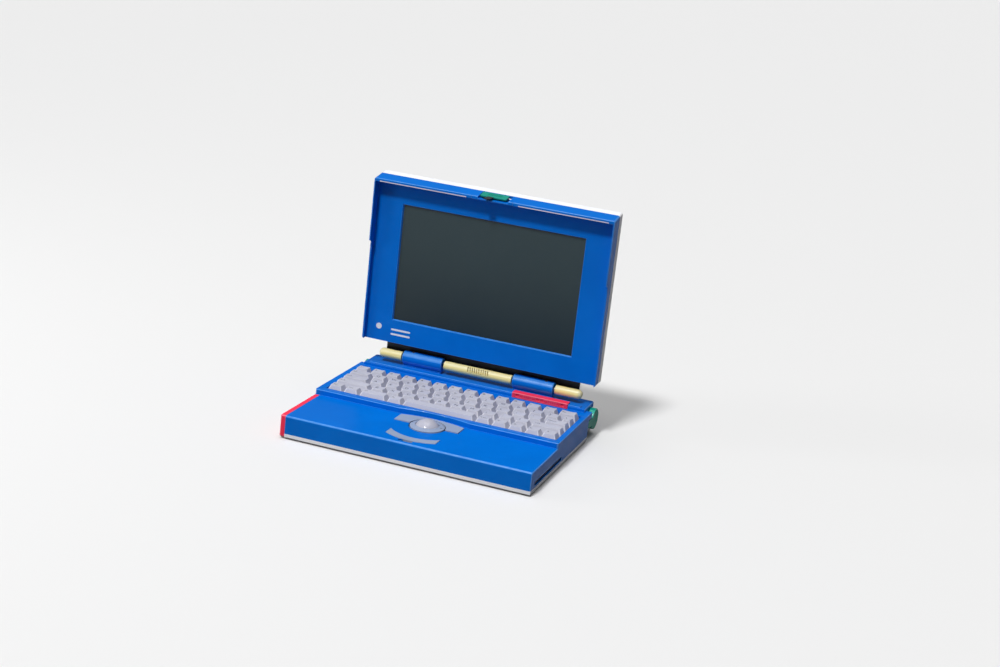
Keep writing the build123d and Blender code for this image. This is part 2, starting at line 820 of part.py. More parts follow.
def trackball_board():
    """Small board round the ball's housing, with the button switches and the battery's contacts."""
    low = sensor_board_height
    top = low + sensor_board_thickness
    shape = block(battery_end + 1.4, ball_x + 33, sensor_board_front, sensor_board_rear, low, top)
    shape -= rod_z(ball_x, ball_depth, low - 1, top + 1, housing_outer + 0.4)
    shape -= block(ball_x - 11, ball_x + 11.5, ball_depth - roller_reach - 5, ball_depth - 10, low - 1, top + 1)
    shape -= block(ball_x + 10, ball_x + roller_reach + 5, ball_depth - 11.5, ball_depth + 11, low - 1, top + 1)
    for spots in button_posts.values():
        for x, depth in spots:
            shape += block(x - 3, x + 3, depth - 3, depth + 3, top, top + button_switch_height - 0.4)
            shape += rod_z(x, depth, top, top + button_switch_height, 1.6)
    shape += block(battery_end + 1.4, battery_end + 4.0, battery_front + 9, battery_front + 37, 7.0, 16.0)
    for n in range(4):
        depth = battery_front + 12.6 + n * contact_pitch
        shape += block(battery_end + 0.4, battery_end + 1.5, depth, depth + 2.2, 9, 13)
    return shape


# Hinge parts that stay with the base

def barrel_cover(x0, x1, screw_x):
    """Round cover over a hinge clutch, open below, with a sunk screw hole on top."""
    shape = rod_x(x0, x1, axis_depth, axis_height, barrel_radius)
    shape = round_edges(shape, 0.8, lambda x, d, h: near(x, x0) or near(x, x1))
    half_neck = barrel_neck / 2
    shape += block(x0 + 1, x1 - 1, axis_depth - half_neck, axis_depth + half_neck,
                   rear_height + barrel_seat, axis_height - 4)
    shape -= rod_x(x0 + barrel_wall, x1 - barrel_wall, axis_depth, axis_height, barrel_radius - barrel_wall)
    shape -= rod_x(x0 - 1, x1 + 1, axis_depth, axis_height, shaft_radius + 0.4)
    shape -= block(x0 + 2.4, x1 - 2.4, axis_depth - half_neck + 1.0, axis_depth + half_neck - 1.0,
                   rear_height, axis_height - 3)
    shape -= rod_z(screw_x, axis_depth, axis_height + barrel_radius - 1.2, axis_height + 10, 2.3)
    return shape - rod_z(screw_x, axis_depth, axis_height + 3, axis_height + 10, 1.3)


def hinge_clutches():
    """Friction clutches, each a wrapped band on a foot that stands on the rear shelf."""
    shapes = []
    for (x0, x1), screw_x in zip(clutch_spans, clutch_screw_x):
        body = rod_x(x0, x1, axis_depth, axis_height, clutch_radius)
        body += block(x0 + 3, x1 - 3, axis_depth - 2.1, axis_depth + 2.1, rear_height + barrel_seat, axis_height)
        body -= rod_x(x0 - 1, x1 + 1, axis_depth, axis_height, shaft_radius + shaft_gap)
        body -= rod_z(screw_x, axis_depth, axis_height + 3.2, axis_height + 10, 1.15)
        for n in range(1, 6):
            x = x0 + n * clutch_length / 6
            groove = rod_x(x - 0.25, x + 0.25, axis_depth, axis_height, clutch_radius + 1)
            groove -= rod_x(x - 0.25, x + 0.25, axis_depth, axis_height, clutch_radius - 0.5)
            groove &= block(x - 1, x + 1, axis_depth - 9, axis_depth + 9, axis_height, axis_height + 9)
            body -= groove
        shapes.append(body)
    return shapes


def clutch_screws():
    shapes = []
    for x in clutch_screw_x:
        low = axis_height + barrel_radius - 1.15
        top = axis_height + barrel_radius - 0.2
        head = rod_z(x, axis_depth, low, top, 2.1)
        head -= block(x - 1.3, x + 1.3, axis_depth - 0.3, axis_depth + 0.3, top - 0.5, top + 1)
        head -= block(x - 0.3, x + 0.3, axis_depth - 1.3, axis_depth + 1.3, top - 0.5, top + 1)
        shapes.append(head + rod_z(x, axis_depth, axis_height + 3.4, low, 1.05))
    return shapes


# Hinge parts that turn with the lid

def hinge_roll(x0, x1, round_end):
    """A round roll on the hinge axis with a web back to the bracket."""
    shape = rod_x(x0, x1, axis_depth, axis_height, roll_radius)
    if round_end:
        edge = x0 if round_end < 0 else x1
        shape = round_edges(shape, roll_radius - 0.6, lambda x, d, h: near(x, edge))
        shape = round_edges(shape, 0.4, lambda x, d, h: near(x, x1 if round_end < 0 else x0))
    else:
        shape = round_edges(shape, 0.4, lambda x, d, h: near(x, x0) or near(x, x1))
    web0 = max(x0, -bracket_half) + 1
    web1 = min(x1, bracket_half) - 1
    return shape + block(web0, web1, axis_depth, bracket_front, axis_height - roll_web / 2, axis_height + roll_web / 2)


def left_hinge_roll():
    shape = hinge_roll(*left_roll, -1)
    return shape - rod_x(left_roll[0] + 8, left_roll[1] + 1, axis_depth, axis_height, shaft_radius)


def right_hinge_roll():
    shape = hinge_roll(*right_roll, 1)
    return shape - rod_x(right_roll[0] - 1, right_roll[1] - 8, axis_depth, axis_height, shaft_radius)


def centre_hinge_roll():
    """Middle roll, bored for the display cable, with slots over the microphone."""
    shape = hinge_roll(*centre_roll, 0)
    shape -= rod_x(centre_roll[0] + 3, centre_roll[1] + 1, axis_depth, axis_height, 3.2)
    for n in range(roll_slots):
        x = roll_slot_centre + (n - (roll_slots - 1) / 2) * roll_slot_pitch
        cut = Pos(x, y_of(axis_depth - 4), z_of(axis_height + 2.6)) * Rot(45, 0, 0) * Rot(0, 0, 14)
        shape -= cut * Box(roll_slot_width, 6.0, 5.6)
    return shape


def hinge_shafts():
    left = rod_x(left_roll[0] + 8, clutch_spans[0][1] + 1, axis_depth, axis_height, shaft_radius)
    right = rod_x(clutch_spans[1][0] - 1, right_roll[1] - 8, axis_depth, axis_height, shaft_radius)
    return [left, right]


def hinge_bracket():
    """Steel strip behind the rolls, bent forward to run up inside the lid."""
    back = lid_back - tongue_thickness
    front = back - bracket_thickness
    upper = lid_back - lid_wall - bracket_thickness - 0.4
    points = [(front, bracket_low), (back, bracket_low), (back, lid_bottom - 0.2),
              (upper + bracket_thickness, lid_bottom + 2.6), (upper + bracket_thickness, bracket_high),
              (upper, bracket_high), (upper, lid_bottom + 2.2), (front, lid_bottom - 0.6)]
    shape = along_x(points, -bracket_half, bracket_half)
    for x in (-100, -40, 40, 100):
        shape -= rod_y(x, bracket_high - 5, upper - 1, upper + 2, 1.6)
    return shape


# Lid

def rim_top(depth):
    """Height of the lid's upper face, which slopes up to the rear."""
    return lid_top - lid_slope * (lid_back - depth) / (lid_back - rim_front)


def lid_block(depth0, depth1):
    """The lid's upright outline with its round corners, between two depths."""
    shape = along_x([(depth0, lid_bottom), (depth1, lid_bottom), (depth1, rim_top(depth1)), (depth0, rim_top(depth0))],
                    -lid_half, lid_half)
    middle = (depth0 + depth1) / 2
    return round_edges(shape, lid_corner, lambda x, d, h: near(abs(x), lid_half) and near(d, middle))


def lid_bezel():
    shape = lid_block(rim_front, lid_split)
    top_front = lambda x, d, h: near(d, rim_front) and h > rim_under
    shape = round_edges(shape, rim_round, top_front)
    # the rim stands lower beside the keyboard deck
    low = along_x([(rim_front - 1, lid_bottom - 1), (rim_front_low, lid_bottom - 1),
                   (rim_front_low, rim_step), (rim_front - 1, rim_step + 2.0)], -lid_half - 1, lid_half + 1)
    shape -= low
    shape -= block(-lid_half + rim_side, lid_half - rim_side, rim_front - 1, bezel_face, lid_bottom - 1, rim_under)
    # room behind the face for the panel
    shape -= block(-lid_half + lid_wall, lid_half - lid_wall, bezel_face + bezel_thickness, lid_split + 1,
                   lid_bottom + lid_wall, rim_under - 1.4)
    # bevelled window
    face = y_of(bezel_face) - 0.01
    middle = z_of((screen_low + screen_high) / 2)
    tall = screen_high - screen_low
    front = Plane(origin=(0, face, middle), x_dir=(1, 0, 0), z_dir=(0, -1, 0))
    back = Plane(origin=(0, face + bezel_thickness + 0.02, middle), x_dir=(1, 0, 0), z_dir=(0, -1, 0))
    shape -= loft([front * Rectangle(2 * screen_half, tall),
                   back * Rectangle(2 * (screen_half - screen_bevel), tall - 2 * screen_bevel)])
    # recess of the latch, and grooves of the pale strips
    room = (latch_left - 0.5, latch_right + latch_travel + 0.5)
    shape -= block(*room, rim_front - 1, latch_body_front + 0.1, rim_under + recess_floor, lid_top + 1)
    shape -= block(*room, latch_body_front - 0.4, latch_back + 0.4, latch_body_low - 0.4, lid_top + 1)
    for x0, x1 in strip_spans:
        shape -= block(x0 - 0.05, x1 + 0.05, rim_front - 1, rim_front + 1.5, rim_under - 1, rim_under + strip_height)
    # grooves beside the latch housing
    for x in (latch_left - groove_gap_left, latch_right + groove_gap_right):
        shape -= block(x - 0.3, x + 0.3, rim_front - 1, rim_front + 0.8, rim_under - 1, lid_top - 2)
    return shape


def rim_strips():
    """Two thin pale strips let into the lower front edge of the top rim."""
    return [block(x0, x1, rim_front + 0.1, rim_front + 1.5, rim_under, rim_under + strip_height)
            for x0, x1 in strip_spans]


def lid_back_cover():
    shape = lid_block(lid_split, lid_back)
    outer_back = lambda x, d, h: near(d, lid_back)
    shape = round_edges(shape, back_round, outer_back)
    inner = block(-lid_half + lid_wall, lid_half - lid_wall, lid_split - 1, lid_back - lid_wall,
                  lid_bottom + lid_wall, rim_top(lid_split) - lid_wall)
    shape -= inner
    # tongue that covers the hinge from behind
    shape += block(-bracket_half, bracket_half, lid_back - tongue_thickness, lid_back,
                   bracket_low, lid_bottom + 4)
    shape -= block(-bracket_half - 0.1, bracket_half + 0.1, bracket_front - 3, lid_back - tongue_thickness,
                   lid_bottom - 1, lid_bottom + 3.4)
    return shape


def lcd_panel():
    """The glass, set behind the window."""
    face = bezel_face + bezel_thickness + 0.1
    return block(-screen_half - lcd_margin, screen_half + lcd_margin, face, face + lcd_thickness,
                 screen_low - lcd_margin, screen_high + lcd_margin)


def lcd_frame():
    """Metal frame that clamps the glass and the lamp unit to the bezel."""
    face = bezel_face + bezel_thickness + 0.1
    edge = lcd_margin + 5
    shape = block(-screen_half - edge, screen_half + edge, face, face + 9.2, screen_low - edge, screen_high + edge)
    shape -= block(-screen_half - lcd_margin - 0.1, screen_half + lcd_margin + 0.1, face - 1, face + 8.2,
                   screen_low - lcd_margin - 0.1, screen_high + lcd_margin + 0.1)
    window = 14
    return shape - block(-screen_half + window, screen_half - window, face, face + 12,
                         screen_low + window, screen_high - window)


def backlight_unit():
    """Light guide with its tube lamp along the lower edge."""
    face = bezel_face + bezel_thickness + lcd_thickness + 0.2
    shape = block(-screen_half - lcd_margin, screen_half + lcd_margin, face, face + 3.4,
                  screen_low + 2, screen_high + lcd_margin)
    lamp = rod_x(-screen_half, screen_half, face + 1.7, screen_low - 0.2, 1.5)
    return [shape, lamp]


def lcd_drivers():
    """Boards beside and below the glass that drive its rows and columns."""
    face = bezel_face + bezel_thickness + 0.1
    side = -screen_half - lcd_margin - 5 - 1.5
    tall = block(side - 18, side, face, face + 1.6, screen_low + 2, screen_high - 2)
    low = screen_low - lcd_margin - 5 - 0.6
    wide = block(-96, 96, face, face + 1.6, low - 13, low)
    for n in range(4):
        chip = screen_low + 10 + n * 31
        tall += block(side - 14.5, side - 3.5, face + 1.6, face + 3.6, chip, chip + 18)
    for n in range(6):
        wide += block(-88 + n * 30, -68 + n * 30, face + 1.6, face + 3.4, low - 9.6, low - 3.6)
    return [tall, wide]


def lid_boards():
    """The drivers beside and below the glass, and the lamp's supply on the back cover."""
    face = lid_back - lid_wall - 1.6
    side = screen_half + lcd_margin + 5 + 3
    supply = block(side, side + 17, face, face + 1.6, screen_low + 2, screen_low + 102)
    supply += block(side + 2, side + 15, face - 5, face, screen_low + 62, screen_low + 84)
    supply += block(side + 3, side + 13, face - 3.5, face, screen_low + 12, screen_low + 26)
    return lcd_drivers() + [supply]


def latch_slide():
    """Green slide with its hook: a thin plate in front, a thicker body behind and the hook's arm."""
    front = rim_top(latch_front) - latch_sunk
    back = rim_top(latch_back) - latch_sunk
    shape = along_x([(latch_front, front - latch_thickness), (latch_body_front, front - latch_thickness),
                     (latch_body_front, latch_body_low), (latch_back, latch_body_low), (latch_back, back),
                     (latch_front, front)], latch_left, latch_right)
    shape = round_edges(shape, 0.6, lambda x, d, h: near(d, latch_front) and near(h, front))
    near_rib = latch_front + 3.0
    far_rib = latch_back - 2.6
    for n in range(7):
        x = latch_left + 8.2 + n * 2.4
        shape -= along_x([(near_rib, rim_top(near_rib) - 0.7), (far_rib, rim_top(far_rib) - 0.7),
                          (far_rib, lid_top + 1), (near_rib, lid_top + 1)], x, x + 0.8)
    shape += block(hook_left, hook_right, hook_reach, latch_front + 1.0, hook_low, hook_high)
    tip = hook_reach + 2.6
    barb = Polyline((hook_left, y_of(hook_reach)), (hook_left - hook_barb, y_of(hook_reach + 1.8)),
                    (hook_left - hook_barb, y_of(tip)), (hook_left, y_of(tip)), close=True)
    shape += raise_plan(make_face(barb), hook_low, hook_high)
    return shape - rod_x(3, latch_right + 1, spring_depth, spring_height, 1.45)


def latch_spring():
    """Light return spring inside the slide, drawn as its plain sleeve."""
    end = latch_right + latch_travel + 0.4
    shape = rod_x(3.1, end, spring_depth, spring_height, 1.2)
    return shape - rod_x(2, end + 1, spring_depth, spring_height, 0.8)


# Controls

def thumb_middle():
    """Height of the sliding controls' middle."""
    return (deck_height + control_height) / 2 + 0.2


def control_bar():
    shape = block(control_left, control_right, control_front, control_front + control_length,
                  deck_height, control_height)
    top_edges = lambda x, d, h: near(h, control_height) and near(d, control_front)
    shape = round_edges(shape, 0.8, top_edges)
    # a shallow bed for each cap, a slot for its stem, and room for its foot
    low = thumb_middle() - thumb_height / 2
    high = thumb_middle() + thumb_height / 2
    for left in thumb_lefts.values():
        reach = thumb_travel + gap
        shape -= block(left - reach, left + thumb_length + reach, control_front - 1, control_front + 1.2, low - gap, high + gap)
        middle = left + thumb_length / 2
        reach += thumb_stem / 2
        shape -= block(middle - reach, middle + reach, control_front, control_front + 4.5, low + 0.5, high - 0.5)
        reach += 1.5
        shape -= block(middle - reach, middle + reach, control_front + 2.4, control_front + 4.5, low - 0.3, high + 0.3)
    return shape


def control_thumb(left):
    """A sliding control: a ribbed cap in the bar's face, a stem, and a wider foot inside the bar."""
    low = thumb_middle() - thumb_height / 2
    high = thumb_middle() + thumb_height / 2
    middle = left + thumb_length / 2
    shape = block(left, left + thumb_length, control_front + 0.1, control_front + 0.9, low, high)
    for n in range(5):
        x = middle - 5.2 + n * 2.4
        shape -= block(x, x + 0.8, control_front - 1, control_front + 0.4, low - 0.1, high + 0.1)
    reach = thumb_stem / 2
    shape += block(middle - reach, middle + reach, control_front + 0.9, control_front + 2.7, low + 0.8, high - 0.8)
    reach += 1.5
    return shape + block(middle - reach, middle + reach, control_front + 2.7, control_front + 4.2, low, high)


# Rear of the base

def tilt_foot(side):
    """Round foot at a rear corner with a leg that swings down."""
    x0 = rear_half + gap
    disc = rod_x(x0, half, foot_centre_depth, foot_centre_height, foot_disc)
    disc = round_edges(disc, 0.8, lambda x, d, h: near(x, half))
    middle = (x0, y_of(foot_centre_depth - foot_leg / 2), z_of(foot_centre_height))
    outline = SlotCenterToCenter(foot_leg, 2 * foot_tip)
    leg = Plane(origin=middle, x_dir=(0, 1, 0), z_dir=(1, 0, 0)) * extrude(outline, half - x0)
    leg = round_edges(leg, 0.8, lambda x, d, h: near(x, half))
    shape = disc + leg + rod_x(rear_half - 4, x0 + 1, foot_centre_depth, foot_centre_height, foot_pin)
    return shape if side > 0 else mirror(shape, about=Plane.YZ)


def port_door():
    """Door over the sockets, hung on pins along its lower edge."""
    front = base_depth - door_thickness - 0.2
    pivot = front + door_thickness / 2
    low = door_low + 1.2
    shape = block(-door_half, door_half, front, front + door_thickness, low, door_high)
    shape = round_edges(shape, 0.8, lambda x, d, h: near(h, door_high) and near(d, front + door_thickness))
    shape += rod_x(-door_half, door_half, pivot, low, door_thickness / 2)
    shape -= block(-12, 12, front + door_thickness - 0.9, front + door_thickness + 1, door_high - 3.6, door_high - 1.6)
    return shape + rod_x(-door_half - 1.8, door_half + 1.8, pivot, low, door_pin)


def power_button():
    shape = rod_y(power_x, power_height, bay_depth + 1.4, base_depth - 0.4, power_radius)
    return shape - rod_y(power_x, power_height, base_depth - 1.0, base_depth, power_radius - 1.1)


def round_socket(x, radius, pins):
    """A round socket with a ring of pin holes and a key slot."""
    shape = block(x - radius - 1.6, x + radius + 1.6, bay_depth - socket_length, bay_depth, board_height + board_thickness, 23)
    groove = rod_y(x, 15.5, bay_depth - 4, bay_depth + 1, radius) - rod_y(x, 15.5, bay_depth - 5, bay_depth + 2, radius - 0.9)
    shape -= groove
    for n in range(pins):
        turn = radians(30 + n * 300 / max(pins - 1, 1))
        shape -= rod_y(x + radius * 0.55 * sin(turn), 15.5 + radius * 0.55 * cos(turn), bay_depth - 4, bay_depth + 1, 0.5)
    return shape


def wide_socket(x, width, rows):
    """A wide flat socket with rows of contact holes."""
    shape = block(x - width / 2, x + width / 2, bay_depth - socket_length, bay_depth, board_height + board_thickness, 22)
    for row in range(rows):
        height = 13.6 + row * 3.0
        for n in range(int((width - 4) / 2.2)):
            left = x - width / 2 + 2.4 + n * 2.2
            shape -= block(left, left + 0.9, bay_depth - 3, bay_depth + 1, height, height + 0.9)
    return shape


def port_connectors():
    """Sockets along the rear edge of the logic board, behind the door."""
    shapes = [round_socket(x, 4.4, 8) for x in (-34.0, -18.0)]
    shapes.append(round_socket(0.0, 4.4, 4))
    shapes.append(wide_socket(24.0, 26.0, 2))
    shapes.append(wide_socket(58.0, 28.0, 2))
    shapes.append(round_socket(84.0, 3.0, 1))
    low = board_height + board_thickness
    switch = block(power_x - 5, power_x + 5, bay_depth - socket_length, bay_depth - 1.0, low, 22)
    shapes.append(switch + rod_y(power_x, power_height, bay_depth - 1.2, bay_depth - 0.6, 2.4))
    inlet = block(-52, -42, bay_depth - socket_length, bay_depth, low, 20)
    inlet -= rod_y(-47, 14, bay_depth - 6, bay_depth + 1, 2.8)
    shapes.append(inlet + rod_y(-47, 14, bay_depth - 6.5, bay_depth - 1, 1.0))
    return shapes


# Inside the base

def logic_board():
    top = board_height + board_thickness
    board = block(board_left, board_right, board_front, board_rear, board_height, top)
    # chips as offsets from the board's front left corner, with their widths and depths
    chips = [(14, 10, 26, 26), (56, 38, 30, 26), (94, 6, 22, 22), (126, 10, 30, 18), (126, 38, 24, 24),
             (12, 48, 20, 20), (36, 84, 26, 14), (98, 78, 18, 12), (150, 74, 16, 16)]
    for x, depth, wide, deep in chips:
        left = board_left + x
        front = board_front + depth
        board += block(left, left + wide, front, front + deep, top, top + 2.2)
    return board


def processor_board():
    """Small board that plugs in above the logic board."""
    base = board_height + board_thickness
    low = base + 5.0
    front = board_front + 32
    left = board_left + 44
    shape = block(left, left + 68, front, front + 38, low, low + 1.4)
    shape += block(left + 16, left + 44, front + 6, front + 32, low + 1.4, low + 3.6)
    shape += block(left + 2, left + 10, front + 2, front + 36, base, low)
    return shape + block(left + 60, left + 66, front + 2, front + 32, low + 1.4, low + 4.2)


def hard_disk():
    low = floor_top
    shape = soft_block(disk_left, disk_left + disk_width, disk_front, disk_front + disk_length, low, low + disk_height, 2)
    shape += rod_z(disk_left + disk_width / 2, disk_front + 60, low + disk_height, low + disk_height + 0.6, 18)
    for n in range(22):
        x = disk_left + 12 + n * 2.1
        shape -= block(x, x + 1.0, disk_front + disk_length - 3, disk_front + disk_length + 1, low + 3, low + 4)
    return shape


def floppy_drive():
    low = floor_top
    front = floppy_front
    shape = block(floppy_left, floppy_right, front, front + floppy_depth, low, low + floppy_height)
    mid = front + floppy_depth / 2
    shape -= block(floppy_left + 6, floppy_right + 1, mid - floppy_slot_depth / 2, mid + floppy_slot_depth / 2,
                   slot_low, slot_low + floppy_slot_height)
    return shape + rod_z(floppy_left + 46, mid, low + floppy_height, low + floppy_height + 0.8, 24)


def speaker():
    """Round speaker with its cone, under the left of the rear shelf."""
    x = -92
    depth = base_depth - 22.5
    shape = rod_z(x, depth, floor_top, floor_top + 4, speaker_radius)
    shape += rod_z(x, depth, floor_top + 4, floor_top + 6.5, speaker_radius - 5)
    cone = Pos(x, y_of(depth), z_of(floor_top + 5.4)) * Cone(1.5, speaker_radius - 6.5, 3)
    return shape - cone


def flat_cables():
    """Flat cables from the logic board to the key plate and up to the display's hinge."""
    low = board_height + board_thickness
    key = block(-50, -24, key_rear + 4, key_rear + 4.4, low, plate_bottom)
    x = cable_x
    display = block(x - 3, x + 3, axis_depth - 0.4, axis_depth + 0.4, low + 2.2, axis_height - 2)
    display += block(x - 6, x + 6, axis_depth - 3, axis_depth + 1.5, low, low + 2.2)
    display += block(x - 3, x + 3, axis_depth - 1.4, axis_depth + 1.4, axis_height - 2, axis_height + 1)
    return [key, display]


def build():
    nodes = {
        "bottom_case": bottom_case(),
        "top_case": top_case(),
        "rubber_feet": rubber_feet(),
        "case_screws": case_screws(),
        "battery_cover": battery_cover(),
        "battery_pack": battery_pack(),
        "key_plate": key_plate(),
        "key_switches": key_switches(),
        "trackball": trackball(),
        "trackball_ring": trackball_ring(),
        "trackball_housing": trackball_housing(),
        "trackball_board": trackball_board(),
        "fore_aft_roller": roller(True),
        "side_roller": roller(False),
        "upper_button": pressed_button(upper_button_plan, upper_button_top, button_posts["upper"]),
        "lower_button": pressed_button(lower_button_plan, lower_button_top, button_posts["lower"]),
        "left_hinge_cover": barrel_cover(*left_barrel, clutch_screw_x[0]),
        "right_hinge_cover": barrel_cover(*right_barrel, clutch_screw_x[1]),
        "hinge_clutches": hinge_clutches(),
        "clutch_screws": clutch_screws(),
        "hinge_shafts": hinge_shafts(),
        "left_hinge_roll": left_hinge_roll(),
        "centre_hinge_roll": centre_hinge_roll(),
        "right_hinge_roll": right_hinge_roll(),
        "hinge_bracket": hinge_bracket(),
        "lid_bezel": lid_bezel(),
        "lid_back_cover": lid_back_cover(),
        "lcd_panel": lcd_panel(),
        "lcd_frame": lcd_frame(),
        "backlight_unit": backlight_unit(),
        "lid_boards": lid_boards(),
        "latch_slide": latch_slide(),
        "latch_spring": latch_spring(),
        "rim_strips": rim_strips(),
        "control_bar": control_bar(),
        "contrast_slider": control_thumb(thumb_lefts["contrast"]),
        "brightness_slider": control_thumb(thumb_lefts["brightness"]),
        "left_tilt_foot": tilt_foot(-1),
        "right_tilt_foot": tilt_foot(1),
        "port_door": port_door(),
        "power_button": power_button(),
        "port_connectors": port_connectors(),
        "logic_board": logic_board(),
        "processor_board": processor_board(),
        "hard_disk": hard_disk(),
        "floppy_drive": floppy_drive(),
        "speaker": speaker(),
        "flat_cables": flat_cables(),
    }
    nodes.update(keys())
    return nodes


def main():
    os.makedirs("parts", exist_ok=True)
    nodes = build()
    for name, shape in nodes.items():
        save(name, shape)
    print(len(nodes), "nodes written")


main()
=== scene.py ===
import json
import math

import bmesh
import bpy
from mathutils import Matrix, Vector
from mathutils.bvhtree import BVHTree


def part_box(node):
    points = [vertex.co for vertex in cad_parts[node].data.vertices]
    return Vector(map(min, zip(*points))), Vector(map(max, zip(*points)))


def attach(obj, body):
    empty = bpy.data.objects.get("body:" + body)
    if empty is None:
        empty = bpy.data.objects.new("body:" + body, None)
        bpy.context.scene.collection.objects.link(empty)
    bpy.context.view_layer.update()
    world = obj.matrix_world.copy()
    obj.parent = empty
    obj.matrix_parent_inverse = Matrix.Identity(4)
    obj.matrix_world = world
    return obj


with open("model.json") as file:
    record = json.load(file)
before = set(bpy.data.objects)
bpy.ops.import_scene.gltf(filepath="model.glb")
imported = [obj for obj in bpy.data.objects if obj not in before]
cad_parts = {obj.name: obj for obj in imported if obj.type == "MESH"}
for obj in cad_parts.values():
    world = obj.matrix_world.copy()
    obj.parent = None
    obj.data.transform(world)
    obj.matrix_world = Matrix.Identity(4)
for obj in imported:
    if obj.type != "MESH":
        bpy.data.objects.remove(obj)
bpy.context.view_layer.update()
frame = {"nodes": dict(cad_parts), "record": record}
nodes = frame["nodes"]

# Lengths are in metres, because the frame is.
MM = 0.001

# Where the photograph was taken from
camera_place = Vector((601.1, -1679.1, 645.5)) * MM
camera_turn = 18.0847
camera_tilt = 16.3150
camera_roll = 6.5439
camera_lens = 61.50
film_width = 36.0

# Studio light
key_direction = Vector((-0.12, -0.55, 0.825))
key_strength = 2.1
key_softness = 9.0
overhead_direction = Vector((-0.05, 0.0, 1.0))
overhead_strength = 1.15
overhead_softness = 45.0
side_place = Vector((-1.5, -0.75, 0.55))
side_size = (0.35, 0.9)
side_power = 5.0
room_light = 0.1
room_seen = 0.25
floor_pale = 0.85
floor_dim = 0.15
floor_half = 12.0
floor_speck = 2.0 * MM
floor_speckled = 0.01
lamp_aim = Vector((0.0, 0.0, 0.05))

# How the moulded plastics look: slow tone patches, handled spots, and the width of what counts as an edge
tone_patch = 38.0 * MM
handled_spot = 9.0 * MM
edge_width = 0.9 * MM
softened_edge = 0.35 * MM
bevel_samples = 4
coat_on_edges = 0.95
base_gloss = 0.02
board_cells_per_metre = 160.0

# Legends on the keys, from the left in each row of ordinary keys
legend_rows = {
    "key_row_5": ["`", "1", "2", "3", "4", "5", "6", "7", "8", "9", "0", "-", "="],
    "key_row_4": ["Q", "W", "E", "R", "T", "Y", "U", "I", "O", "P", "[", "]", "\\"],
    "key_row_3": ["A", "S", "D", "F", "G", "H", "J", "K", "L", ";", "'"],
    "key_row_2": ["Z", "X", "C", "V", "B", "N", "M", ",", ".", "?"],
    "key_row_1": ["esc", "ctrl", "alt", "fn", "enter", "<", ">", "v", "^"],
    "tab_key": ["tab"],
    "caps_lock_key": ["caps"],
    "return_key": ["return"],
    "left_shift_key": ["shift"],
    "right_shift_key": ["shift"],
    "delete_key": ["del"],
}
letter_size = 6.0 * MM
word_size = 3.6 * MM
legend_margin = 4.2 * MM
legend_lift = 0.03 * MM
legend_drop = 0.8 * MM
letter_smoothness = 3
merge_distance = 0.002 * MM

# Plain marks on the lower left of the display's frame
dot_place = Vector((-125.5, 0.0, 79.7)) * MM
dot_radius = 3.5 * MM
mark_lines = ((-109.0, 78.6, 22.0), (-109.0, 73.0, 22.0))
line_width = 2.2 * MM
mark_height = 0.12 * MM
dot_corners = 40
line_end_steps = 8

# Rings of a mark's pad, each as its share of the outline and its share of the height
pad_rings = ((1.0, 0.0), (1.0, 0.6), (0.97, 1.0))

# Length of the latch's green plate, in front of which only its hook's arm shows, painted near-black as
# painted shade
latch_plate = 11.45 * MM


def srgb(red, green, blue):
    """A colour given as 0 to 255 on screen, as the linear colour that a shader takes."""
    def linear(value):
        share = value / 255
        return share / 12.92 if share <= 0.04045 else ((share + 0.055) / 1.055) ** 2.4
    return (linear(red), linear(green), linear(blue), 1.0)


def grey(level):
    """A grey of the given linear level, as a shader's colour."""
    return (level, level, level, 1.0)


class Amount:
    """A number that changes over a surface, so that shader maths reads as a plain sum."""

    def __init__(self, finish, socket):
        self.finish = finish
        self.socket = socket

    def maths(self, operation, first, second=0.0):
        node = self.finish.node("ShaderNodeMath", {"operation": operation}, {0: first, 1: second})
        return Amount(self.finish, node.outputs[0])

    def __add__(self, other):
        return self.maths("ADD", self, other)

    def __sub__(self, other):
        return self.maths("SUBTRACT", self, other)

    def __rsub__(self, other):
        return self.maths("SUBTRACT", other, self)

    def __mul__(self, other):
        return self.maths("MULTIPLY", self, other)

    __radd__ = __add__
    __rmul__ = __mul__

    def above(self, low, high):
        """0 below low, 1 over high, and smooth between them."""
        node = self.finish.node(
            "ShaderNodeMapRange",
            {"interpolation_type": "SMOOTHSTEP"},
            {"Value": self, "From Min": low, "From Max": high},
        )
        return Amount(self.finish, node.outputs["Result"])


